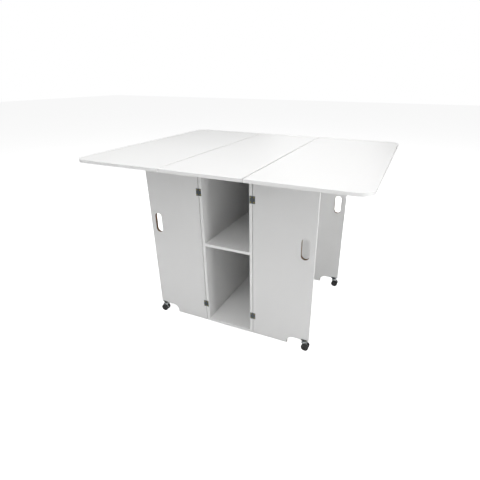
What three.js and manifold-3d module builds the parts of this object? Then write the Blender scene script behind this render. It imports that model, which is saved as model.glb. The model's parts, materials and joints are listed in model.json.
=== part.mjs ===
// A drop-leaf sewing table: a narrow open cabinet under a fixed centre top, a hinged leaf on each
// side, and four gates on twin-wheel casters that swing out from the cabinet's corners to carry the leaves.
// Millimetres, +Z up, standing on Z = 0. The origin is on the floor under the middle of the top,
// +X runs along the top to the right and the front of the cabinet faces -Y.
import * as THREE from 'three';
import { mergeVertices } from 'three/addons/utils/BufferGeometryUtils.js';
import Module from 'manifold-3d';

const wasm = await Module();
wasm.setup();

// ---- Driving dimensions ----

const TOP_LENGTH = 1400; // both leaves up, along X
const TOP_DEPTH = 1150; // along Y
const TABLE_HEIGHT = 945; // floor to worktop
const TOP_THICKNESS = 15;
const CENTRE_TOP_WIDTH = 403; // the fixed panel between the leaves
const LEAF_GAP = 4; // between the fixed panel and each leaf
const TOP_CORNER_RADIUS = 65; // outer corners of the leaves

const BOARD = 15; // every cabinet panel and gate
const CABINET_WIDTH = 288; // over both side panels
const CABINET_DEPTH = 708; // front edges to back edges
const FLOOR_CLEARANCE = 15; // under the cabinet and the gates
const SHELF_HEIGHT = 509; // floor to the shelf's upper face

const GATE_LENGTH = 314;
const GATE_SEAM = 3; // between a side panel and an open gate
const GATE_TOP_CLEARANCE = 1; // under the leaves
const SLOT_WIDTH = 40; // hand slot, with round ends
const SLOT_HEIGHT = 110;
const SLOT_FROM_END = 47.5; // slot's centre line to the gate's outer end
const SLOT_FROM_TOP = 347; // slot's centre to the gate's top
const NOTCH_LENGTH = 118; // raised stretch of the gate's bottom, over the caster
const NOTCH_HEIGHT = 44;
const NOTCH_RADIUS = 36;

const GATE_HINGE_HEIGHT = 37;
const GATE_HINGE_WIDTH = 28.4; // both plates, as seen from the front
const GATE_HINGE_FROM_TOP = 144; // upper hinge's middle to the underside of the top
const GATE_HINGE_FROM_BOTTOM = 114; // lower hinge's middle to the gate's bottom
const GATE_HINGE_PLATE = 1.2;
const GATE_HINGE_RETURN = 0.8; // the flange that passes through the seam
const GATE_KNUCKLE_RADIUS = 3;
const GATE_PIN_RADIUS = 1.5;

const LEAF_HINGE_LENGTH = 60; // along the seam
const LEAF_HINGE_REACH = 32; // plate's far edge to the pin
const LEAF_HINGE_SHEET = 1.6;
const LEAF_KNUCKLE_RADIUS = 3.5;
const LEAF_PIN_RADIUS = 1.75;

const END_KNUCKLE_SHARE = 0.25; // of a hinge's length, for each of its two end knuckles

const WHEEL_RADIUS = 20;
const WHEEL_WIDTH = 11; // each of a caster's two wheels
const WHEEL_SIDE_GAP = 0.8; // wheel to the body between the wheels
const HUB_RADIUS = 7.8; // raised middle of the wheel, round the axle
const DISH_DEPTH = 1.5; // hollow between the hub and the tyre, on each side
const TYRE_HEIGHT = 5; // tread to the dish's outer edge
const DISH_LIP = 1; // slope from the dish to the tyre's side
const SHOULDER_IN = 1.8; // from the tread, where the tyre's side starts to slope
const SHOULDER_DOWN = 2; // from the tyre's side, where the tread starts
const CASTER_TRAIL = 8; // swivel axis to axle
const CASTER_FROM_END = 25; // swivel axis to the gate's outer end
const AXLE_RADIUS = 3;
const AXLE_HEAD_RADIUS = 4.5;
const AXLE_HEAD_HEIGHT = 1.5;
const BODY_THICKNESS = 10; // metal body between the wheels, along the axle
const BODY_RADIUS = 16; // its round part, about the axle
const NECK_REACH = 10; // axle to the back of the neck that joins it to the crown
const CROWN_SHEET = 1.8;
const CROWN_HALF_WIDTH = 12.8;
const CROWN_GAP = 3.5; // top of the wheels to the crown
const RACE_RADIUS = 11;
const RACE_GAP = 0.6; // between the two halves of the swivel bearing
const KINGPIN_RADIUS = 3;
const KINGPIN_HEAD_RADIUS = 4.8;
const KINGPIN_HEAD_HEIGHT = 1.8;
const BRACKET_LENGTH = 31; // channel that clips round the gate's lower edge
const BRACKET_FLANGE = 6; // how far its sides reach up the gate
const BRACKET_SHEET = 1.8;

const GLIDE_RADIUS = 14;
const GLIDE_INSET = 28; // glide's middle to the side panel's inner face
const GLIDE_FROM_END = 60; // glide's middle to the cabinet's front or back edges

const FIT_GAP = 0.3; // between pieces that touch
const RUNNING_GAP = 0.3; // between a pin or axle and the bore that turns on it
const KNUCKLE_GAP = 0.5; // round a knuckle that turns past the other plate
const ROUND = 16; // sides of a small cylinder
const WHEEL_SIDES = 24;
const ARC_STEPS = 10; // per arc of a flat outline

// How each caster stands: the direction that its axle trails from the swivel axis.
const GATES = [
  { name: 'front_left', side: -1, end: 1, trail: 180 },
  { name: 'front_right', side: 1, end: 1, trail: 0 },
  { name: 'rear_left', side: -1, end: -1, trail: 180 },
  { name: 'rear_right', side: 1, end: -1, trail: 0 },
];

// ---- Places that follow from them ----

const topUnderside = TABLE_HEIGHT - TOP_THICKNESS;
// Leaf hinges sit in the middle of the overhang, clear of the gates as they swing.
const leafHingeY = (TOP_DEPTH + CABINET_DEPTH) / 4;
const leafAxisX = (CENTRE_TOP_WIDTH + LEAF_GAP) / 2;
const leafAxisZ = topUnderside - FIT_GAP - LEAF_KNUCKLE_RADIUS;
const sideOuter = CABINET_WIDTH / 2;
const sideInner = sideOuter - BOARD;
const frontY = -CABINET_DEPTH / 2;
const gateInner = sideOuter + GATE_SEAM;
const gateOuter = gateInner + GATE_LENGTH;
const gateTop = topUnderside - GATE_TOP_CLEARANCE;
const gateMiddleY = frontY + BOARD / 2;
const notchTop = FLOOR_CLEARANCE + NOTCH_HEIGHT;
const gateAxisX = sideOuter + FIT_GAP + GATE_KNUCKLE_RADIUS;
const gateAxisY = frontY + BOARD + FIT_GAP + GATE_KNUCKLE_RADIUS;
const swivelX = gateOuter - CASTER_FROM_END;
const wheelInner = BODY_THICKNESS / 2 + WHEEL_SIDE_GAP;
const crownBottom = 2 * WHEEL_RADIUS + CROWN_GAP;
const crownTop = crownBottom + CROWN_SHEET;
const bracketTop = notchTop - FIT_GAP;
const bracketBottom = bracketTop - BRACKET_SHEET;
const raceMiddle = (crownTop + bracketBottom) / 2;

// ---- Finishes ----

const finish = (color, roughness, metalness) =>
  new THREE.MeshStandardMaterial({ color, roughness, metalness });

const melamine = finish(0xeeeeec, 0.45, 0);
const hingeSteel = finish(0x4b4f52, 0.5, 0.7);
const zincSteel = finish(0x9ba0a3, 0.35, 0.9);
const blackTyre = finish(0x2b2b2b, 0.6, 0);
const glidePlastic = finish(0xd8d8d6, 0.6, 0);

// ---- Making solids ----

const MERGE_DISTANCE = 1e-5;

function toSolid(geometry) {
  const bare = geometry.clone();
  bare.deleteAttribute('normal');
  bare.deleteAttribute('uv');
  const merged = mergeVertices(bare, MERGE_DISTANCE);
  const mesh = new wasm.Mesh({
    numProp: 3,
    vertProperties: new Float32Array(merged.attributes.position.array),
    triVerts: new Uint32Array(merged.index.array),
  });
  return new wasm.Manifold(mesh);
}

function toGeometry(solid) {
  const mesh = solid.getMesh();
  const geometry = new THREE.BufferGeometry();
  geometry.setAttribute('position', new THREE.BufferAttribute(mesh.vertProperties, 3));
  geometry.setIndex(new THREE.BufferAttribute(mesh.triVerts, 1));
  return geometry;
}

function joined(...geometries) {
  const solids = geometries.map(toSolid);
  return toGeometry(solids.reduce((whole, piece) => whole.add(piece)));
}

function cut(geometry, ...tools) {
  const solids = tools.map(toSolid);
  return toGeometry(solids.reduce((whole, tool) => whole.subtract(tool), toSolid(geometry)));
}

// A box from its low and high faces along each axis.
function block([x0, x1], [y0, y1], [z0, z1]) {
  const box = new THREE.BoxGeometry(x1 - x0, y1 - y0, z1 - z0);
  return box.translate((x0 + x1) / 2, (y0 + y1) / 2, (z0 + z1) / 2);
}

// A cylinder standing on (x, y) between two heights.
function post(radius, x, y, [z0, z1]) {
  const cylinder = new THREE.CylinderGeometry(radius, radius, z1 - z0, ROUND);
  return cylinder.rotateX(Math.PI / 2).translate(x, y, (z0 + z1) / 2);
}

// A cylinder lying along Y at (x, z).
function bar(radius, x, z, [y0, y1]) {
  const cylinder = new THREE.CylinderGeometry(radius, radius, y1 - y0, ROUND);
  return cylinder.translate(x, (y0 + y1) / 2, z);
}

// A flat outline drawn in X and Z, given a thickness along Y.
function upright(shape, [y0, y1]) {
  const slab = new THREE.ExtrudeGeometry(shape, {
    depth: y1 - y0,
    bevelEnabled: false,
    curveSegments: ARC_STEPS,
  });
  return slab.rotateX(Math.PI / 2).translate(0, y1, 0);
}

// Shapes are drawn for the right side and the front; this reflects one to another corner.
function reflected(geometry, side, end) {
  const copy = geometry.clone();
  copy.deleteAttribute('normal');
  copy.scale(side, end, 1);
  if (side * end > 0) return copy;
  const shared = mergeVertices(copy, MERGE_DISTANCE);
  const index = shared.index.array;
  for (let i = 0; i < index.length; i += 3) {
    [index[i], index[i + 1]] = [index[i + 1], index[i]];
  }
  return shared;
}

const table = new THREE.Group();

function place(name, geometry, material, parent = table) {
  const mesh = new THREE.Mesh(geometry, material);
  mesh.name = name;
  parent.add(mesh);
}

// ---- Cabinet ----

// Open at the front: two sides, a floor, one shelf and a back panel between the sides.
function addCabinet() {
  const boards = [FLOOR_CLEARANCE, topUnderside - FIT_GAP];
  const inside = [-sideInner + FIT_GAP, sideInner - FIT_GAP];
  const floorTop = FLOOR_CLEARANCE + BOARD;
  const backFace = -frontY - BOARD;
  for (const [name, side] of [['left', -1], ['right', 1]]) {
    const panel = block([sideInner, sideOuter], [frontY, -frontY], boards);
    place(`side_panel_${name}`, reflected(panel, side, 1), melamine);
  }
  const floor = block(inside, [frontY, -frontY], [FLOOR_CLEARANCE, floorTop]);
  place('bottom_panel', floor, melamine);
  const back = block(inside, [backFace, -frontY], [floorTop + FIT_GAP, boards[1]]);
  place('back_panel', back, melamine);
  const shelf = [SHELF_HEIGHT - BOARD, SHELF_HEIGHT];
  place('shelf', block(inside, [frontY, backFace - FIT_GAP], shelf), melamine);
}

function addGlides() {
  const foot = [0, FLOOR_CLEARANCE - FIT_GAP];
  const glide = post(GLIDE_RADIUS, sideInner - GLIDE_INSET, frontY + GLIDE_FROM_END, foot);
  for (const gate of GATES) {
    place(`glide_${gate.name}`, reflected(glide, gate.side, gate.end), glidePlastic);
  }
}

// ---- Top ----

function addTop() {
  const thickness = [topUnderside, TABLE_HEIGHT];
  const halfDepth = TOP_DEPTH / 2;
  const half = CENTRE_TOP_WIDTH / 2;
  place('top_centre', block([-half, half], [-halfDepth, halfDepth], thickness), melamine);
  const inner = leafAxisX + LEAF_GAP / 2;
  const outer = TOP_LENGTH / 2;
  const radius = TOP_CORNER_RADIUS;
  const outline = new THREE.Shape();
  outline.moveTo(inner, -halfDepth);
  outline.lineTo(outer - radius, -halfDepth);
  outline.absarc(outer - radius, radius - halfDepth, radius, -Math.PI / 2, 0);
  outline.lineTo(outer, halfDepth - radius);
  outline.absarc(outer - radius, halfDepth - radius, radius, 0, Math.PI / 2);
  outline.lineTo(inner, halfDepth);
  outline.closePath();
  const leaf = new THREE.ExtrudeGeometry(outline, {
    depth: TOP_THICKNESS,
    bevelEnabled: false,
    curveSegments: ARC_STEPS,
  });
  leaf.translate(0, 0, topUnderside);
  place('leaf_left', reflected(leaf, -1, 1), melamine);
  place('leaf_right', reflected(leaf, 1, 1), melamine);
}

// The three stretches of a hinge along its pin: the fixed plate carries both end knuckles.
function knuckleStretches(middle, length) {
  const low = middle - length / 2;
  const high = middle + length / 2;
  const end = length * END_KNUCKLE_SHARE;
  return {
    low: [low, low + end],
    moving: [low + end + KNUCKLE_GAP, high - end - KNUCKLE_GAP],
    high: [high - end, high],
    whole: [low, high],
  };
}

// Butt hinges under the top, with the pin below the seam between the centre panel and a leaf.
function addLeafHinges() {
  const sheet = [topUnderside - FIT_GAP - LEAF_HINGE_SHEET, topUnderside - FIT_GAP];
  const clear = LEAF_KNUCKLE_RADIUS + KNUCKLE_GAP;
  const along = knuckleStretches(-leafHingeY, LEAF_HINGE_LENGTH);
  const fixedPlate = [leafAxisX - LEAF_HINGE_REACH, leafAxisX - clear];
  const fixed = joined(
    block(fixedPlate, along.whole, sheet),
    block([leafAxisX - clear, leafAxisX], along.low, sheet),
    block([leafAxisX - clear, leafAxisX], along.high, sheet),
    bar(LEAF_KNUCKLE_RADIUS, leafAxisX, leafAxisZ, along.low),
    bar(LEAF_KNUCKLE_RADIUS, leafAxisX, leafAxisZ, along.high),
    bar(LEAF_PIN_RADIUS, leafAxisX, leafAxisZ, along.whole),
  );
  const bore = bar(LEAF_PIN_RADIUS + RUNNING_GAP, leafAxisX, leafAxisZ, along.whole);
  const movingPlate = [leafAxisX + clear, leafAxisX + LEAF_HINGE_REACH];
  const moving = cut(
    joined(
      block(movingPlate, along.whole, sheet),
      block([leafAxisX, leafAxisX + clear], along.moving, sheet),
      bar(LEAF_KNUCKLE_RADIUS, leafAxisX, leafAxisZ, along.moving),
    ),
    bore,
  );
  for (const { name, side, end } of GATES) {
    place(`leaf_hinge_fixed_${name}`, reflected(fixed, side, end), hingeSteel);
    place(`leaf_hinge_moving_${name}`, reflected(moving, side, end), hingeSteel);
  }
}

// ---- Gates ----

function gatePanel() {
  const notchX = gateOuter - NOTCH_LENGTH;
  const archX = notchX + NOTCH_RADIUS;
  const archZ = notchTop - NOTCH_RADIUS;
  const outline = new THREE.Shape();
  outline.moveTo(gateInner, FLOOR_CLEARANCE);
  outline.lineTo(notchX, FLOOR_CLEARANCE);
  outline.lineTo(notchX, archZ);
  outline.absarc(archX, archZ, NOTCH_RADIUS, Math.PI, Math.PI / 2, true);
  outline.lineTo(gateOuter, notchTop);
  outline.lineTo(gateOuter, gateTop);
  outline.lineTo(gateInner, gateTop);
  outline.closePath();
  const slotX = gateOuter - SLOT_FROM_END;
  const slotZ = gateTop - SLOT_FROM_TOP;
  const radius = SLOT_WIDTH / 2;
  const straight = SLOT_HEIGHT / 2 - radius;
  const slot = new THREE.Path();
  slot.absarc(slotX, slotZ + straight, radius, 0, Math.PI);
  slot.absarc(slotX, slotZ - straight, radius, Math.PI, 2 * Math.PI);
  slot.closePath();
  outline.holes.push(slot);
  return upright(outline, [frontY, frontY + BOARD]);
}

// Wrap-round hinges: a plate on the front of the side panel and one on the front of the gate, each
// with a flange through the seam to knuckles in the corner behind the gate.
function gateHinge(middle) {
  const along = knuckleStretches(middle, GATE_HINGE_HEIGHT);
  const seam = sideOuter + GATE_SEAM / 2;
  const face = [frontY - FIT_GAP - GATE_HINGE_PLATE, frontY - FIT_GAP];
  const behind = gateAxisY - GATE_KNUCKLE_RADIUS - KNUCKLE_GAP;
  const fixedFlange = [sideOuter + FIT_GAP, sideOuter + FIT_GAP + GATE_HINGE_RETURN];
  const movingFlange = [gateInner - FIT_GAP - GATE_HINGE_RETURN, gateInner - FIT_GAP];
  const fixed = joined(
    block([seam - GATE_HINGE_WIDTH / 2, fixedFlange[1]], face, along.whole),
    block(fixedFlange, [face[0], behind], along.whole),
    block(fixedFlange, [behind, gateAxisY], along.low),
    block(fixedFlange, [behind, gateAxisY], along.high),
    post(GATE_KNUCKLE_RADIUS, gateAxisX, gateAxisY, along.low),
    post(GATE_KNUCKLE_RADIUS, gateAxisX, gateAxisY, along.high),
    post(GATE_PIN_RADIUS, gateAxisX, gateAxisY, along.whole),
  );
  const moving = cut(
    joined(
      block([movingFlange[0], seam + GATE_HINGE_WIDTH / 2], face, along.whole),
      block(movingFlange, [face[0], behind], along.whole),
      block(movingFlange, [behind, gateAxisY], along.moving),
      post(GATE_KNUCKLE_RADIUS, gateAxisX, gateAxisY, along.moving),
    ),
    post(GATE_PIN_RADIUS + RUNNING_GAP, gateAxisX, gateAxisY, along.whole),
  );
  return { fixed, moving };
}

function addGates() {
  const panel = gatePanel();
  const hinges = {
    upper: gateHinge(topUnderside - GATE_HINGE_FROM_TOP),
    lower: gateHinge(FLOOR_CLEARANCE + GATE_HINGE_FROM_BOTTOM),
  };
  for (const { name, side, end } of GATES) {
    place(`gate_${name}`, reflected(panel, side, end), melamine);
    for (const [level, { fixed, moving }] of Object.entries(hinges)) {
      place(`gate_hinge_fixed_${level}_${name}`, reflected(fixed, side, end), hingeSteel);
      place(`gate_hinge_moving_${level}_${name}`, reflected(moving, side, end), hingeSteel);
    }
  }
}

// ---- Casters ----

// A channel round the gate's lower edge, with the upper half of the swivel bearing and its kingpin.
function casterBracket() {
  const inner = BOARD / 2 + FIT_GAP;
  const outer = inner + BRACKET_SHEET;
  const length = [swivelX - BRACKET_LENGTH / 2, swivelX + BRACKET_LENGTH / 2];
  const height = [bracketBottom, notchTop + BRACKET_FLANGE];
  const headTop = crownBottom - RACE_GAP;
  return joined(
    block(length, [gateMiddleY - outer, gateMiddleY + outer], [bracketBottom, bracketTop]),
    block(length, [gateMiddleY - outer, gateMiddleY - inner], height),
    block(length, [gateMiddleY + inner, gateMiddleY + outer], height),
    post(RACE_RADIUS, swivelX, gateMiddleY, [raceMiddle + RACE_GAP / 2, bracketTop]),
    post(KINGPIN_RADIUS, swivelX, gateMiddleY, [headTop - KINGPIN_HEAD_HEIGHT, bracketTop]),
    post(KINGPIN_HEAD_RADIUS, swivelX, gateMiddleY, [headTop - KINGPIN_HEAD_HEIGHT, headTop]),
  );
}

// The swivelling half, drawn round its own axis and trailing along +X: a crown under the swivel
// bearing and a round body between the wheels, joined by a neck behind the kingpin's head.
function casterBody() {
  const half = BODY_THICKNESS / 2;
  const front = -RACE_RADIUS - CROWN_SHEET;
  const back = CASTER_TRAIL + NECK_REACH;
  const neckFront = KINGPIN_HEAD_RADIUS + RUNNING_GAP;
  const width = [-CROWN_HALF_WIDTH, CROWN_HALF_WIDTH];
  const body = joined(
    block([front, back], width, [crownBottom, crownTop]),
    block([neckFront, back], [-half, half], [WHEEL_RADIUS, crownTop]),
    bar(BODY_RADIUS, CASTER_TRAIL, WHEEL_RADIUS, [-half, half]),
    post(RACE_RADIUS, 0, 0, [crownBottom, raceMiddle - RACE_GAP / 2]),
  );
  const axleHole = bar(AXLE_RADIUS + RUNNING_GAP, CASTER_TRAIL, WHEEL_RADIUS, width);
  const pinHole = post(KINGPIN_RADIUS + RUNNING_GAP, 0, 0, [crownBottom - CROWN_SHEET, notchTop]);
  return cut(body, axleHole, pinHole);
}

function casterAxle() {
  const headFace = wheelInner + WHEEL_WIDTH + FIT_GAP;
  const tip = headFace + AXLE_HEAD_HEIGHT;
  const head = AXLE_HEAD_RADIUS;
  const profile = [
    [0, -tip], [head, -tip], [head, -headFace], [AXLE_RADIUS, -headFace],
    [AXLE_RADIUS, headFace], [head, headFace], [head, tip], [0, tip],
  ].map(([radius, along]) => new THREE.Vector2(radius, along));
  return new THREE.LatheGeometry(profile, ROUND).translate(CASTER_TRAIL, 0, WHEEL_RADIUS);
}

// One wheel of the pair: a tyre with sloped shoulders, dished sides and a raised hub.
function casterWheel(direction) {
  const bore = AXLE_RADIUS + RUNNING_GAP;
  const half = WHEEL_WIDTH / 2;
  const rim = WHEEL_RADIUS - TYRE_HEIGHT;
  const dish = half - DISH_DEPTH;
  const side = [
    [bore, half], [HUB_RADIUS, half], [HUB_RADIUS, dish], [rim, dish], [rim + DISH_LIP, half],
    [WHEEL_RADIUS - SHOULDER_IN, half],
    [WHEEL_RADIUS, half - SHOULDER_DOWN],
  ];
  const mirror = side.map(([radius, along]) => [radius, -along]);
  const loop = [...mirror, ...side.reverse(), mirror[0]];
  const profile = loop.map(([radius, along]) => new THREE.Vector2(radius, along));
  const middle = direction * (wheelInner + half);
  return new THREE.LatheGeometry(profile, WHEEL_SIDES).translate(CASTER_TRAIL, middle, WHEEL_RADIUS);
}

function addCasters() {
  const bracket = casterBracket();
  const body = casterBody();
  const axle = casterAxle();
  const wheels = [casterWheel(1), casterWheel(-1)];
  for (const { name, side, end, trail } of GATES) {
    place(`caster_bracket_${name}`, reflected(bracket, side, end), hingeSteel);
    const swivel = new THREE.Group();
    swivel.position.set(side * swivelX, end * gateMiddleY, 0);
    swivel.rotation.z = THREE.MathUtils.degToRad(trail);
    place(`caster_body_${name}`, body, zincSteel, swivel);
    place(`caster_axle_${name}`, axle, zincSteel, swivel);
    wheels.forEach((wheel, index) => {
      place(`caster_wheel_${index + 1}_${name}`, wheel, blackTyre, swivel);
    });
    table.add(swivel);
  }
}

addCabinet();
addGlides();
addTop();
addLeafHinges();
addGates();
addCasters();

export default table;
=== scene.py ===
"""A white drop-leaf sewing table, with both leaves up on four swing-out gates that stand on casters.

Metres, +Z up. The boards, hinges, casters and glides are refined pieces that stand for the frame's
plain solids, each at the size and place that the frame gives. The screws are added here.
"""

import json
from functools import partial
from math import cos, pi, radians, sin

import bmesh
import bpy
from mathutils import Matrix, Vector

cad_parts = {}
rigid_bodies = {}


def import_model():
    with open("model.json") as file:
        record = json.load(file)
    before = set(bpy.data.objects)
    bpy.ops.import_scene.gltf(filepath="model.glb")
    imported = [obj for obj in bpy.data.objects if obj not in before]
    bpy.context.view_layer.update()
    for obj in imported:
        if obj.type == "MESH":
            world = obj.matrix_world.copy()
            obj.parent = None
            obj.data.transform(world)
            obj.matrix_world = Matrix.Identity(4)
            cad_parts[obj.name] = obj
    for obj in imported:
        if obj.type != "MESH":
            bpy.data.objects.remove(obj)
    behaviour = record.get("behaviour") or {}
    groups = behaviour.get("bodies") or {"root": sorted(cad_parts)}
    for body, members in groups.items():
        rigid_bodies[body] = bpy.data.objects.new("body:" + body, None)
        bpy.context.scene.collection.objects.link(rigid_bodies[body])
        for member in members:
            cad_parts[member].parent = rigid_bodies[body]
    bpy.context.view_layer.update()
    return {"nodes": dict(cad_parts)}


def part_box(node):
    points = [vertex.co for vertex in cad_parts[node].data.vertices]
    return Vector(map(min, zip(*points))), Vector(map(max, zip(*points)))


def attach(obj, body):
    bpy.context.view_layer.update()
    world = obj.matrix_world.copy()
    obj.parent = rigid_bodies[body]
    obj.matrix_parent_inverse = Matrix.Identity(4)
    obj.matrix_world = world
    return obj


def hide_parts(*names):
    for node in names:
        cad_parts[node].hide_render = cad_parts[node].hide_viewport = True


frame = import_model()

CORNERS = ("front_left", "front_right", "rear_left", "rear_right")
LEVELS = ("upper", "lower")
SIDE = {"front_left": -1, "front_right": 1, "rear_left": -1, "rear_right": 1}  # along X
END = {"front_left": 1, "front_right": 1, "rear_left": -1, "rear_right": -1}  # 1 faces -Y

# ---- Sizes of the details that the frame leaves plain ----

ROUND_SEGMENTS = 3  # of a rolled edge on a board or a glide
METAL_SEGMENTS = 2  # of a rolled edge on a metal piece

TOP_ROUND = 0.0010  # edge banding of the top, rounded over
BOARD_ROUND = 0.0004  # edge banding of the other boards
BAND_THICKNESS = 0.0010  # the banding's own edge, seen from a board's broad face
GLUE_LINE = 0.0003  # between the banding and the melamine
RIM_DEPTH = 0.0020  # how near a face lies to a gate's outline to count as its rim
NOTCH_ROOF_LOW = 0.030  # the notch's banded roof lies between these heights above the gate's bottom
NOTCH_ROOF_HIGH = 0.048
NOTCH_REACH = 0.085  # how far that roof reaches in from the gate's outer end

PLATE_ROUND = 0.0004
SCREW_RADIUS = 0.0032
SCREW_HEIGHT = 0.0007
SCREW_SIDES = 20
SCREW_ROUND = 0.0002
RECESS_RADIUS = 0.0014  # of the hollow in a screw's head
RECESS_DEPTH = 0.0005
SCREW_IN = 0.0052  # screw's middle to the plate's outer edge
SCREW_DOWN = 0.0066  # screw's middle to the plate's top or bottom edge
LEAF_HINGE_SHEET = 0.0016  # thickness of a leaf hinge's plates
LEAF_SCREW_IN = 0.0090  # screw's middle to the plate's outer edge
LEAF_SCREW_STEP = 0.0200  # between the three screws of a leaf hinge plate
BRACKET_SCREW_SCALE = 0.7  # the caster bracket's screws are smaller
BRACKET_SCREW_STEP = 0.0190  # between the bracket's two screws
BRACKET_SCREW_DOWN = 0.0032  # screw's middle to the top of the bracket's side

CASTER_ROUND = 0.0004  # edges of a caster's bracket and body
AXLE_ROUND = 0.0005
GLIDE_ROUND = 0.0015

WHEEL_STEPS = 56  # round a wheel
WHEEL_CORNER_SEGMENTS = 4  # of a rounded corner in a ring's section
BORE_RADIUS = 0.0033
HUB_RADIUS = 0.0078
TYRE_INNER_RADIUS = 0.0146
WEB_INSET = 0.0017  # disc between hub and tyre, below the tyre's sides
HUB_INSET = 0.0003  # hub's ends, below the tyre's sides
TYRE_ROUND = 0.0019
HUB_ROUND = 0.0006  # corners of the hub and the disc

# ---- Camera ----

CAMERA_PLACE = (0.8024, -1.7923, 1.3070)
CAMERA_YAW = 0.4095  # radians, to the left of +Y
CAMERA_PITCH = 0.4389  # radians, down
CAMERA_ROLL = 0.0036  # radians
CAMERA_LENS = 26.715  # millimetres
CAMERA_SENSOR = 36.0  # millimetres across
CAMERA_SHIFT = (-0.0388, 0.0063)


def add_camera():
    """The view from the right of the front, a little above the worktop."""
    data = bpy.data.cameras.new("camera")
    data.lens = CAMERA_LENS
    data.sensor_width = CAMERA_SENSOR
    data.shift_x, data.shift_y = CAMERA_SHIFT
    camera = bpy.data.objects.new("camera", data)
    bpy.context.scene.collection.objects.link(camera)
    yaw, pitch = CAMERA_YAW, CAMERA_PITCH
    forward = Vector((-sin(yaw) * cos(pitch), cos(yaw) * cos(pitch), -sin(pitch)))
    level = Vector((cos(yaw), sin(yaw), 0.0))
    raised = level.cross(forward)
    right = level * cos(CAMERA_ROLL) + raised * sin(CAMERA_ROLL)
    up = raised * cos(CAMERA_ROLL) - level * sin(CAMERA_ROLL)
    turn = Matrix((right, up, -forward)).transposed().to_4x4()
    camera.matrix_world = Matrix.Translation(CAMERA_PLACE) @ turn
    bpy.context.scene.camera = camera


# ---- Light ----

SKY_STRENGTH = 0.2  # straight overhead; it fades to nothing at the horizon
BACKDROP_STRENGTH = 1.0
FLOOR_SIZE = 40.0
FLOOR_GLOW = 0.8  # seen only by the camera: it whitens the floor and lights nothing
# Each soft box's place, the place that it points at, its size and its watts.
SOFT_BOXES = {
    "overhead": ((0.0, -0.4, 3.6), (0.0, 0.0, 0.9), 3.2, 93.0),
    "right": ((3.2, -0.5, 0.9), (0.3, 0.1, 0.5), 1.6, 40.0),
    "front": ((0.2, -3.4, 3.4), (0.0, -0.3, 0.5), 3.0, 60.0),
    "left": ((-3.2, 0.4, 0.9), (-0.3, 0.1, 0.5), 1.6, 16.0),
    "rear": ((-0.4, 3.4, 0.9), (0.0, 0.3, 0.5), 1.6, 24.0),
}


def add_light(name, place, aim, size, watts):
    """A square soft box that points at a place on the object."""
    data = bpy.data.lights.new(name, "AREA")
    data.shape = "SQUARE"
    data.size = size
    data.energy = watts
    light = bpy.data.objects.new(name, data)
    bpy.context.scene.collection.objects.link(light)
    light.location = place
    direction = Vector(aim) - Vector(place)
    light.rotation_euler = direction.to_track_quat("-Z", "Y").to_euler()


def add_sky():
    """A dome that is brightest overhead, in front of a plain white backdrop."""
    world = bpy.data.worlds.new("studio")
    world.use_nodes = True
    tree = world.node_tree
    dome = tree.nodes["Background"]
    dome.inputs["Color"].default_value = (1.0, 1.0, 1.0, 1.0)
    backdrop = node(tree, "ShaderNodeBackground", (0, -200))
    backdrop.inputs["Color"].default_value = (1.0, 1.0, 1.0, 1.0)
    backdrop.inputs["Strength"].default_value = BACKDROP_STRENGTH
    direction = node(tree, "ShaderNodeTexCoord", (-800, 0))
    height = node(tree, "ShaderNodeSeparateXYZ", (-600, 0))
    fade = node(tree, "ShaderNodeMapRange", (-400, 0), interpolation_type="SMOOTHSTEP")
    fade.inputs["To Max"].default_value = SKY_STRENGTH
    ray = node(tree, "ShaderNodeLightPath", (0, 300))
    choose = node(tree, "ShaderNodeMixShader", (300, 0))
    link = tree.links.new
    link(direction.outputs["Generated"], height.inputs["Vector"])
    link(height.outputs["Z"], fade.inputs["Value"])
    link(fade.outputs["Result"], dome.inputs["Strength"])
    link(ray.outputs["Is Camera Ray"], choose.inputs["Fac"])
    link(dome.outputs["Background"], choose.inputs[1])
    link(backdrop.outputs["Background"], choose.inputs[2])
    link(choose.outputs["Shader"], tree.nodes["World Output"].inputs["Surface"])
    bpy.context.scene.world = world


def add_studio():
    """A pale floor, a pale sky and soft boxes all round."""
    bpy.ops.mesh.primitive_plane_add(size=FLOOR_SIZE)
    floor = bpy.context.object
    floor.name = "studio_floor"
    paint = bpy.data.materials.new("studio_white")
    paint.use_nodes = True
    shader = paint.node_tree.nodes["Principled BSDF"]
    shader.inputs["Base Color"].default_value = (0.97, 0.97, 0.97, 1.0)
    shader.inputs["Roughness"].default_value = 1.0
    shader.inputs["Specular IOR Level"].default_value = 0.0
    shader.inputs["Emission Color"].default_value = (1.0, 1.0, 1.0, 1.0)
    ray = node(paint.node_tree, "ShaderNodeLightPath", (-600, 0))
    glow = node(paint.node_tree, "ShaderNodeMath", (-300, 0), operation="MULTIPLY")
    glow.inputs[1].default_value = FLOOR_GLOW
    paint.node_tree.links.new(ray.outputs["Is Camera Ray"], glow.inputs[0])
    paint.node_tree.links.new(glow.outputs["Value"], shader.inputs["Emission Strength"])
    floor.data.materials.append(paint)
    add_sky()
    for name, (place, aim, size, watts) in SOFT_BOXES.items():
        add_light(name, place, aim, size, watts)
    bpy.context.scene.view_settings.view_transform = "Standard"


# ---- Material helpers ----


def node(tree, kind, place, **settings):
    """A shader node with its plain settings."""
    made = tree.nodes.new(kind)
    made.location = place
    for name, value in settings.items():
        setattr(made, name, value)
    return made


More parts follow.
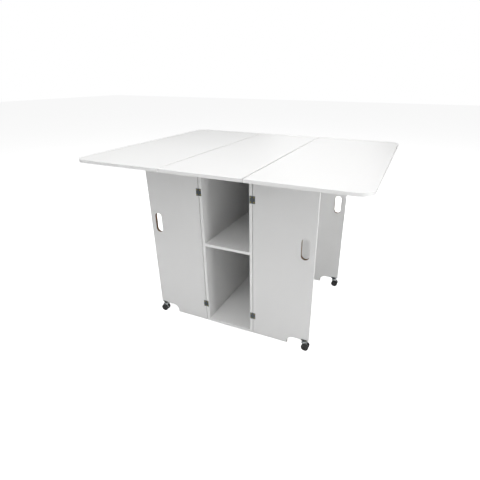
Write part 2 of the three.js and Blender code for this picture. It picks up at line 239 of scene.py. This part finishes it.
def build_mottle():
    """Slight tone and roughness change over a surface, and a fine bump. Shared by all finishes."""
    group = bpy.data.node_groups.new("surface_mottle", "ShaderNodeTree")
    sockets = (
        ("INPUT", "NodeSocketColor", ("Dark", "Light")),
        ("INPUT", "NodeSocketFloat", ("Patch Scale", "Grain Scale", "Rough Low", "Rough High")),
        ("OUTPUT", "NodeSocketColor", ("Color",)),
        ("OUTPUT", "NodeSocketFloat", ("Roughness", "Height")),
    )
    for direction, kind, names in sockets:
        for name in names:
            group.interface.new_socket(name=name, in_out=direction, socket_type=kind)
    inputs = node(group, "NodeGroupInput", (-900, 0))
    outputs = node(group, "NodeGroupOutput", (500, 0))
    place = node(group, "ShaderNodeTexCoord", (-900, 300))
    patches = node(group, "ShaderNodeTexNoise", (-600, 200))
    patches.inputs["Detail"].default_value = 4.0
    grain = node(group, "ShaderNodeTexNoise", (-600, -150))
    grain.inputs["Detail"].default_value = 3.0
    tone = node(group, "ShaderNodeMix", (-250, 200), data_type="RGBA")
    rough = node(group, "ShaderNodeMapRange", (-250, -50))
    link = group.links.new
    link(place.outputs["Object"], patches.inputs["Vector"])
    link(place.outputs["Object"], grain.inputs["Vector"])
    link(inputs.outputs["Patch Scale"], patches.inputs["Scale"])
    link(inputs.outputs["Grain Scale"], grain.inputs["Scale"])
    link(patches.outputs["Fac"], tone.inputs["Factor"])
    link(inputs.outputs["Dark"], tone.inputs["A"])
    link(inputs.outputs["Light"], tone.inputs["B"])
    link(patches.outputs["Fac"], rough.inputs["Value"])
    link(inputs.outputs["Rough Low"], rough.inputs["To Min"])
    link(inputs.outputs["Rough High"], rough.inputs["To Max"])
    link(tone.outputs["Result"], outputs.inputs["Color"])
    link(rough.outputs["Result"], outputs.inputs["Roughness"])
    link(grain.outputs["Fac"], outputs.inputs["Height"])
    return group


MOTTLE = build_mottle()


def finish_from_mottle(name, dark, light, patch, grain, rough, bump, metallic=0.0):
    """A finish whose colour, roughness and bump come from the shared mottle group.

    dark and light are the colours that it drifts between, and patch is the scale of that drift.
    grain is the scale of its bump, and bump the strength and distance. rough is its lowest and
    highest roughness.
    """
    material = bpy.data.materials.new(name)
    material.use_nodes = True
    tree = material.node_tree
    shader = tree.nodes["Principled BSDF"]
    shader.inputs["Metallic"].default_value = metallic
    surface = node(tree, "ShaderNodeGroup", (-500, 0), node_tree=MOTTLE)
    surface.inputs["Dark"].default_value = (*dark, 1.0)
    surface.inputs["Light"].default_value = (*light, 1.0)
    surface.inputs["Patch Scale"].default_value = patch
    surface.inputs["Grain Scale"].default_value = grain
    surface.inputs["Rough Low"].default_value = rough[0]
    surface.inputs["Rough High"].default_value = rough[1]
    relief = node(tree, "ShaderNodeBump", (-230, -220))
    relief.inputs["Strength"].default_value = bump[0]
    relief.inputs["Distance"].default_value = bump[1]
    tree.links.new(surface.outputs["Color"], shader.inputs["Base Color"])
    tree.links.new(surface.outputs["Roughness"], shader.inputs["Roughness"])
    tree.links.new(surface.outputs["Height"], relief.inputs["Height"])
    tree.links.new(relief.outputs["Normal"], shader.inputs["Normal"])
    return material


def chipboard_core():
    """Brown wood chips pressed in resin, seen where a board is routed through."""
    material = finish_from_mottle(
        "chipboard_core",
        dark=(0.10, 0.055, 0.03),
        light=(0.26, 0.15, 0.085),
        patch=420.0,
        grain=1600.0,
        rough=(0.7, 0.9),
        bump=(0.5, 0.0004),
    )
    tree = material.node_tree
    shader = tree.nodes["Principled BSDF"]
    surface = next(n for n in tree.nodes if n.type == "GROUP")
    place = node(tree, "ShaderNodeTexCoord", (-900, 350))
    chips = node(tree, "ShaderNodeTexVoronoi", (-680, 350))
    chips.inputs["Scale"].default_value = 520.0
    tint = node(tree, "ShaderNodeMix", (-250, 250), data_type="RGBA", blend_type="OVERLAY")
    tint.inputs["Factor"].default_value = 0.45
    tree.links.new(place.outputs["Object"], chips.inputs["Vector"])
    tree.links.new(surface.outputs["Color"], tint.inputs["A"])
    tree.links.new(chips.outputs["Color"], tint.inputs["B"])
    tree.links.new(tint.outputs["Result"], shader.inputs["Base Color"])
    return material


MELAMINE = finish_from_mottle(
    "white_melamine",
    dark=(0.80, 0.80, 0.795),
    light=(0.82, 0.82, 0.815),
    patch=3.0,
    grain=2600.0,
    rough=(0.46, 0.54),
    bump=(0.05, 0.0001),
)
BANDING = finish_from_mottle(
    "white_edge_band",
    dark=(0.86, 0.86, 0.855),
    light=(0.89, 0.89, 0.885),
    patch=9.0,
    grain=1800.0,
    rough=(0.3, 0.38),
    bump=(0.05, 0.0001),
)
GLUE = finish_from_mottle(
    "banding_glue_line",
    dark=(0.36, 0.355, 0.345),
    light=(0.46, 0.455, 0.44),
    patch=40.0,
    grain=1800.0,
    rough=(0.6, 0.7),
    bump=(0.05, 0.0001),
)
CORE = chipboard_core()
HINGE_STEEL = finish_from_mottle(
    "dark_hinge_steel",
    dark=(0.072, 0.082, 0.089),
    light=(0.115, 0.129, 0.138),
    patch=160.0,
    grain=1500.0,
    rough=(0.42, 0.58),
    bump=(0.12, 0.0001),
    metallic=0.35,
)
ZINC = finish_from_mottle(
    "zinc_plated_steel",
    dark=(0.42, 0.44, 0.45),
    light=(0.56, 0.575, 0.58),
    patch=260.0,
    grain=1500.0,
    rough=(0.22, 0.4),
    bump=(0.1, 0.0001),
    metallic=1.0,
)
BLACK_OXIDE = finish_from_mottle(
    "black_oxide_steel",
    dark=(0.03, 0.03, 0.031),
    light=(0.05, 0.05, 0.052),
    patch=300.0,
    grain=1500.0,
    rough=(0.4, 0.55),
    bump=(0.1, 0.0001),
    metallic=0.6,
)
YELLOW_ZINC = finish_from_mottle(
    "yellow_zinc_screw",
    dark=(0.26, 0.22, 0.06),
    light=(0.42, 0.37, 0.13),
    patch=700.0,
    grain=2500.0,
    rough=(0.25, 0.4),
    bump=(0.1, 0.0001),
    metallic=0.9,
)
TYRE = finish_from_mottle(
    "black_tyre_rubber",
    dark=(0.015, 0.015, 0.015),
    light=(0.028, 0.028, 0.029),
    patch=140.0,
    grain=2200.0,
    rough=(0.45, 0.65),
    bump=(0.2, 0.0001),
)
WHEEL_DISC = finish_from_mottle(
    "wheel_disc_plastic",
    dark=(0.022, 0.022, 0.023),
    light=(0.034, 0.034, 0.035),
    patch=160.0,
    grain=1800.0,
    rough=(0.4, 0.55),
    bump=(0.1, 0.0001),
)
GLIDE = finish_from_mottle(
    "pale_glide_plastic",
    dark=(0.60, 0.60, 0.585),
    light=(0.68, 0.68, 0.665),
    patch=90.0,
    grain=1500.0,
    rough=(0.45, 0.6),
    bump=(0.1, 0.0001),
)

# ---- Modelling helpers ----

FLAT_ENOUGH = 0.9999  # largest part of the normal of a face that lies square to an axis
FLAT_ANGLE = radians(0.5)  # faces that meet at less than this are one flat face
SHARP_ANGLE = radians(40.0)  # edges that turn by more than this are rolled over
SMOOTH_ANGLE = radians(35.0)  # edges that turn by less than this shade as one curve
MERGE_DISTANCE = 0.00001  # corners nearer than this are one


def deselect_all():
    """Leaves no object selected."""
    for item in bpy.context.scene.objects:
        item.select_set(False)


def only(piece):
    """Makes one object the only one that operators act on."""
    deselect_all()
    piece.select_set(True)
    bpy.context.view_layer.objects.active = piece


def apply_place(piece):
    """Moves a piece's place into its mesh, so that its object sits at the origin."""
    only(piece)
    bpy.ops.object.transform_apply(location=True, rotation=True, scale=True)


def apply_all(piece):
    """Applies a piece's modifiers to its mesh."""
    only(piece)
    for modifier in list(piece.modifiers):
        bpy.ops.object.modifier_apply(modifier=modifier.name)


def select_faces(piece, wanted):
    """In edit mode, selects the faces that a test of centre and normal picks out."""
    bpy.ops.object.mode_set(mode="EDIT")
    bpy.ops.mesh.select_mode(type="FACE")
    bpy.ops.mesh.select_all(action="DESELECT")
    mesh = bmesh.from_edit_mesh(piece.data)
    for face in mesh.faces:
        face.select_set(wanted(face.calc_center_median(), face.normal))
    bmesh.update_edit_mesh(piece.data)


def smooth(piece):
    """Smooth curves between exactly flat faces, so that a flat face never shades as a curve."""
    only(piece)
    bpy.ops.object.shade_smooth_by_angle(angle=SMOOTH_ANGLE)
    for face in piece.data.polygons:
        if max(abs(part) for part in face.normal) > FLAT_ENOUGH:
            face.use_smooth = False


def merged_copy(name, source):
    """The frame's solid as a new piece, with its doubled corners merged and flat faces joined."""
    piece = bpy.data.objects.new(name, frame["nodes"][source].data.copy())
    bpy.context.scene.collection.objects.link(piece)
    piece.data.materials.clear()
    only(piece)
    bpy.ops.object.mode_set(mode="EDIT")
    bpy.ops.mesh.select_all(action="SELECT")
    bpy.ops.mesh.remove_doubles(threshold=MERGE_DISTANCE)
    bpy.ops.mesh.dissolve_limited(angle_limit=FLAT_ANGLE)
    bpy.ops.object.mode_set(mode="OBJECT")
    return piece


def round_edges(piece, width, segments):
    """Rolls over every sharp edge by a small radius."""
    bevel = piece.modifiers.new("rounding", "BEVEL")
    bevel.width = width
    bevel.segments = segments
    bevel.limit_method = "ANGLE"
    bevel.angle_limit = SHARP_ANGLE
    apply_all(piece)
    smooth(piece)


def paint_faces(piece, materials, choose):
    """Gives each face the material whose number choose() returns from its centre and normal."""
    for material in materials:
        piece.data.materials.append(material)
    for face in piece.data.polygons:
        face.material_index = choose(face.center, face.normal)


def refine(source, suffix, body, material, rounding, segments=METAL_SEGMENTS):
    """A solid of the frame as a finer piece, with rolled edges and one finish."""
    piece = merged_copy(f"{source}_{suffix}", source)
    round_edges(piece, rounding, segments)
    piece.data.materials.append(material)
    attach(piece, body)
    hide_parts(source)


# ---- Boards ----

X, Y, Z = range(3)
MELAMINE_SLOT, BANDING_SLOT, CORE_SLOT, GLUE_SLOT = range(4)
BROAD_NORMAL = 0.99  # faces across a board's thickness, its rounded arrises left out


def inside_gate_cut(corner, centre):
    """Whether a face of a gate is bare core: in its hand slot or the inner end of its notch."""
    low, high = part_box(f"gate_{corner}")
    across = SIDE[corner] * centre.x
    outer = max(abs(low.x), abs(high.x))
    inner = min(abs(low.x), abs(high.x))
    on_rim = across > outer - RIM_DEPTH or across < inner + RIM_DEPTH
    on_top = centre.z > high.z - RIM_DEPTH
    on_bottom = centre.z < low.z + RIM_DEPTH
    at_roof = low.z + NOTCH_ROOF_LOW < centre.z < low.z + NOTCH_ROOF_HIGH
    notch_roof = at_roof and across > outer - NOTCH_REACH
    return not (on_rim or on_top or on_bottom or notch_roof)


def draw_banding(piece, thin_axis, in_cut):
    """Shows the banding's own edge and its glue line all round a board's two broad faces."""
    select_faces(piece, lambda centre, normal: abs(normal[thin_axis]) > FLAT_ENOUGH)
    for width, finish in ((BAND_THICKNESS, BANDING_SLOT), (GLUE_LINE, GLUE_SLOT)):
        bpy.ops.mesh.inset(thickness=width)
        mesh = bmesh.from_edit_mesh(piece.data)
        for face in mesh.faces:
            outside = abs(face.normal[thin_axis]) > FLAT_ENOUGH and not face.select
            unpainted = face.material_index == MELAMINE_SLOT
            if outside and unpainted and not in_cut(face.calc_center_median()):
                face.material_index = finish
        bmesh.update_edit_mesh(piece.data)
    bpy.ops.object.mode_set(mode="OBJECT")


def add_board(node_name, body, rounding, thin_axis, in_cut=lambda centre: False):
    """A melamine board: broad faces in melamine, edges in banding, cuts showing the core."""
    piece = merged_copy(f"{node_name}_board", node_name)
    round_edges(piece, rounding, ROUND_SEGMENTS)

    def choose(centre, normal):
        if abs(normal[thin_axis]) > BROAD_NORMAL:
            return MELAMINE_SLOT
        return CORE_SLOT if in_cut(centre) else BANDING_SLOT

    paint_faces(piece, (MELAMINE, BANDING, CORE, GLUE), choose)
    draw_banding(piece, thin_axis, in_cut)
    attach(piece, body)
    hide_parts(node_name)


def add_boards():
    """The top, the cabinet and the gates, each with the axis that its thickness lies along."""
    add_board("top_centre", "cabinet", TOP_ROUND, Z)
    add_board("leaf_left", "left_leaf", TOP_ROUND, Z)
    add_board("leaf_right", "right_leaf", TOP_ROUND, Z)
    add_board("side_panel_left", "cabinet", BOARD_ROUND, X)
    add_board("side_panel_right", "cabinet", BOARD_ROUND, X)
    add_board("bottom_panel", "cabinet", BOARD_ROUND, Z)
    add_board("back_panel", "cabinet", BOARD_ROUND, Y)
    add_board("shelf", "cabinet", BOARD_ROUND, Z)
    for corner in CORNERS:
        in_cut = partial(inside_gate_cut, corner)
        add_board(f"gate_{corner}", f"{corner}_gate", BOARD_ROUND, Y, in_cut)


# ---- Hinges and screws ----


def screw_model():
    """A pan-head screw along -Y with a round recess, centred on the origin."""
    bpy.ops.mesh.primitive_cylinder_add(
        vertices=SCREW_SIDES, radius=SCREW_RADIUS, depth=SCREW_HEIGHT, rotation=(pi / 2, 0, 0)
    )
    screw = bpy.context.object
    apply_place(screw)
    select_faces(screw, lambda centre, normal: normal.y < -FLAT_ENOUGH)
    bpy.ops.mesh.inset(thickness=SCREW_RADIUS - RECESS_RADIUS)
    bpy.ops.mesh.extrude_region_move(TRANSFORM_OT_translate={"value": (0, RECESS_DEPTH, 0)})
    bpy.ops.object.mode_set(mode="OBJECT")
    round_edges(screw, SCREW_ROUND, METAL_SEGMENTS)
    screw.data.materials.append(YELLOW_ZINC)
    return screw


def copy_of(model, name, matrix):
    """A copy with its own mesh, placed by a matrix applied to the mesh."""
    piece = bpy.data.objects.new(name, model.data.copy())
    bpy.context.scene.collection.objects.link(piece)
    piece.data.transform(matrix)
    if matrix.determinant() < 0:
        piece.data.flip_normals()
    return piece


def add_screw(model, name, place, turn, body):
    """A screw head lying on a face; turn takes its outward -Y to the way that the face looks."""
    piece = copy_of(model, name, Matrix.Translation(place) @ turn)
    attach(piece, body)


def add_gate_hinges(screw):
    """Two wrap-round hinges for each gate, with two screws in each plate."""
    for corner in CORNERS:
        side, end = SIDE[corner], END[corner]
        for level in LEVELS:
            for part, body in (("fixed", "cabinet"), ("moving", f"{corner}_gate")):
                source = f"gate_hinge_{part}_{level}_{corner}"
                refine(source, "plate", body, HINGE_STEEL, PLATE_ROUND)
                low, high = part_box(source)
                face = low.y if end > 0 else high.y
                inward = -1 if part == "fixed" else 1
                rim = max(low.x * side * inward, high.x * side * inward)
                x = side * inward * (rim - SCREW_IN)
                turn = Matrix.Diagonal((1, end, 1, 1))
                for number, z in enumerate((low.z + SCREW_DOWN, high.z - SCREW_DOWN), 1):
                    head = Vector((x, face - end * SCREW_HEIGHT / 2, z))
                    add_screw(screw, f"{source}_screw_{number}", head, turn, body)


def add_leaf_hinges(screw):
    """Two butt hinges under each leaf, with three screws in each plate."""
    turn = Matrix.Rotation(pi / 2, 4, "X")
    for corner in CORNERS:
        side = corner.split("_")[1]
        for part, body in (("fixed", "cabinet"), ("moving", f"{side}_leaf")):
            source = f"leaf_hinge_{part}_{corner}"
            refine(source, "plate", body, HINGE_STEEL, PLATE_ROUND)
            low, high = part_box(source)
            sheet_bottom = high.z - LEAF_HINGE_SHEET
            outward = 1 if part == "moving" else -1
            rim = max(low.x * SIDE[corner] * outward, high.x * SIDE[corner] * outward)
            x = SIDE[corner] * outward * (rim - LEAF_SCREW_IN)
            middle = (low.y + high.y) / 2
            for number, step in enumerate((-LEAF_SCREW_STEP, 0.0, LEAF_SCREW_STEP), 1):
                head = Vector((x, middle + step, sheet_bottom - SCREW_HEIGHT / 2))
                add_screw(screw, f"{source}_screw_{number}", head, turn, body)


# ---- Casters and glides ----


def ring(inner, outer, half_width, rounding, material):
    """A ring about the Y axis, spun from a section with rounded corners."""
    middle = (inner + outer) / 2
    bpy.ops.mesh.primitive_plane_add(size=1.0, location=(middle, 0, 0))
    piece = bpy.context.object
    piece.scale = (outer - inner, 2 * half_width, 1.0)
    apply_place(piece)
    bpy.ops.object.mode_set(mode="EDIT")
    bpy.ops.mesh.select_all(action="SELECT")
    bpy.ops.mesh.bevel(offset=rounding, segments=WHEEL_CORNER_SEGMENTS, affect="VERTICES")
    bpy.ops.mesh.delete(type="ONLY_FACE")
    bpy.ops.mesh.select_all(action="SELECT")
    bpy.ops.mesh.spin(steps=WHEEL_STEPS, angle=2 * pi, center=(0, 0, 0), axis=(0, 1, 0))
    bpy.ops.mesh.select_all(action="SELECT")
    bpy.ops.mesh.remove_doubles(threshold=MERGE_DISTANCE)
    bpy.ops.mesh.normals_make_consistent(inside=False)
    bpy.ops.object.mode_set(mode="OBJECT")
    piece.data.materials.append(material)
    smooth(piece)
    return piece


def wheel_model():
    """One wheel of a pair: a rubber tyre, a thinner disc and a hub, with its axle along Y."""
    low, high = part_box("caster_wheel_1_front_left")
    half = (high.y - low.y) / 2
    radius = (high.z - low.z) / 2
    tyre = ring(TYRE_INNER_RADIUS, radius, half, TYRE_ROUND, TYRE)
    disc_radius = TYRE_INNER_RADIUS + HUB_ROUND  # its rounded corners lie inside the tyre
    disc = ring(BORE_RADIUS, disc_radius, half - WEB_INSET, HUB_ROUND, WHEEL_DISC)
    hub = ring(BORE_RADIUS, HUB_RADIUS, half - HUB_INSET, HUB_ROUND, WHEEL_DISC)
    deselect_all()
    for part in (disc, hub, tyre):
        part.select_set(True)
    bpy.context.view_layer.objects.active = tyre
    bpy.ops.object.join()
    return tyre


def add_wheels():
    """The two wheels of each caster."""
    wheel = wheel_model()
    for corner in CORNERS:
        for number in (1, 2):
            source = f"caster_wheel_{number}_{corner}"
            low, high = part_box(source)
            piece = copy_of(wheel, f"{source}_fine", Matrix.Translation((low + high) / 2))
            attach(piece, f"{corner}_wheel_{number}")
            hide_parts(source)
    bpy.data.objects.remove(wheel)


def add_casters(screw):
    """Each caster's bracket, body and axle, and the screws in the bracket's outer side."""
    finishes = {
        "caster_bracket": (HINGE_STEEL, "hinge_steel", "gate", CASTER_ROUND),
        "caster_body": (ZINC, "zinc_steel", "caster", CASTER_ROUND),
        "caster_axle": (BLACK_OXIDE, "zinc_steel", "caster", AXLE_ROUND),
    }
    for corner in CORNERS:
        for kind, (material, slot, body, rounding) in finishes.items():
            refine(f"{kind}_{corner}", "fine", f"{corner}_{body}", material, rounding)
        low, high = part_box(f"caster_bracket_{corner}")
        end = END[corner]
        face = low.y if end > 0 else high.y
        middle = (low.x + high.x) / 2
        y = face - end * SCREW_HEIGHT / 2
        turn = Matrix.Diagonal((BRACKET_SCREW_SCALE, end, BRACKET_SCREW_SCALE, 1))
        for number, step in enumerate((-BRACKET_SCREW_STEP / 2, BRACKET_SCREW_STEP / 2), 1):
            head = Vector((middle + step, y, high.z - BRACKET_SCREW_DOWN))
            name = f"caster_bracket_{corner}_screw_{number}"
            add_screw(screw, name, head, turn, f"{corner}_gate")


def add_glides():
    """The cabinet's own feet."""
    for corner in CORNERS:
        refine(
            f"glide_{corner}", "fine", "cabinet", GLIDE, GLIDE_ROUND, ROUND_SEGMENTS
        )


add_camera()
add_studio()
add_boards()
screw = screw_model()
add_gate_hinges(screw)
add_leaf_hinges(screw)
add_casters(screw)
bpy.data.objects.remove(screw)
add_wheels()
add_glides()
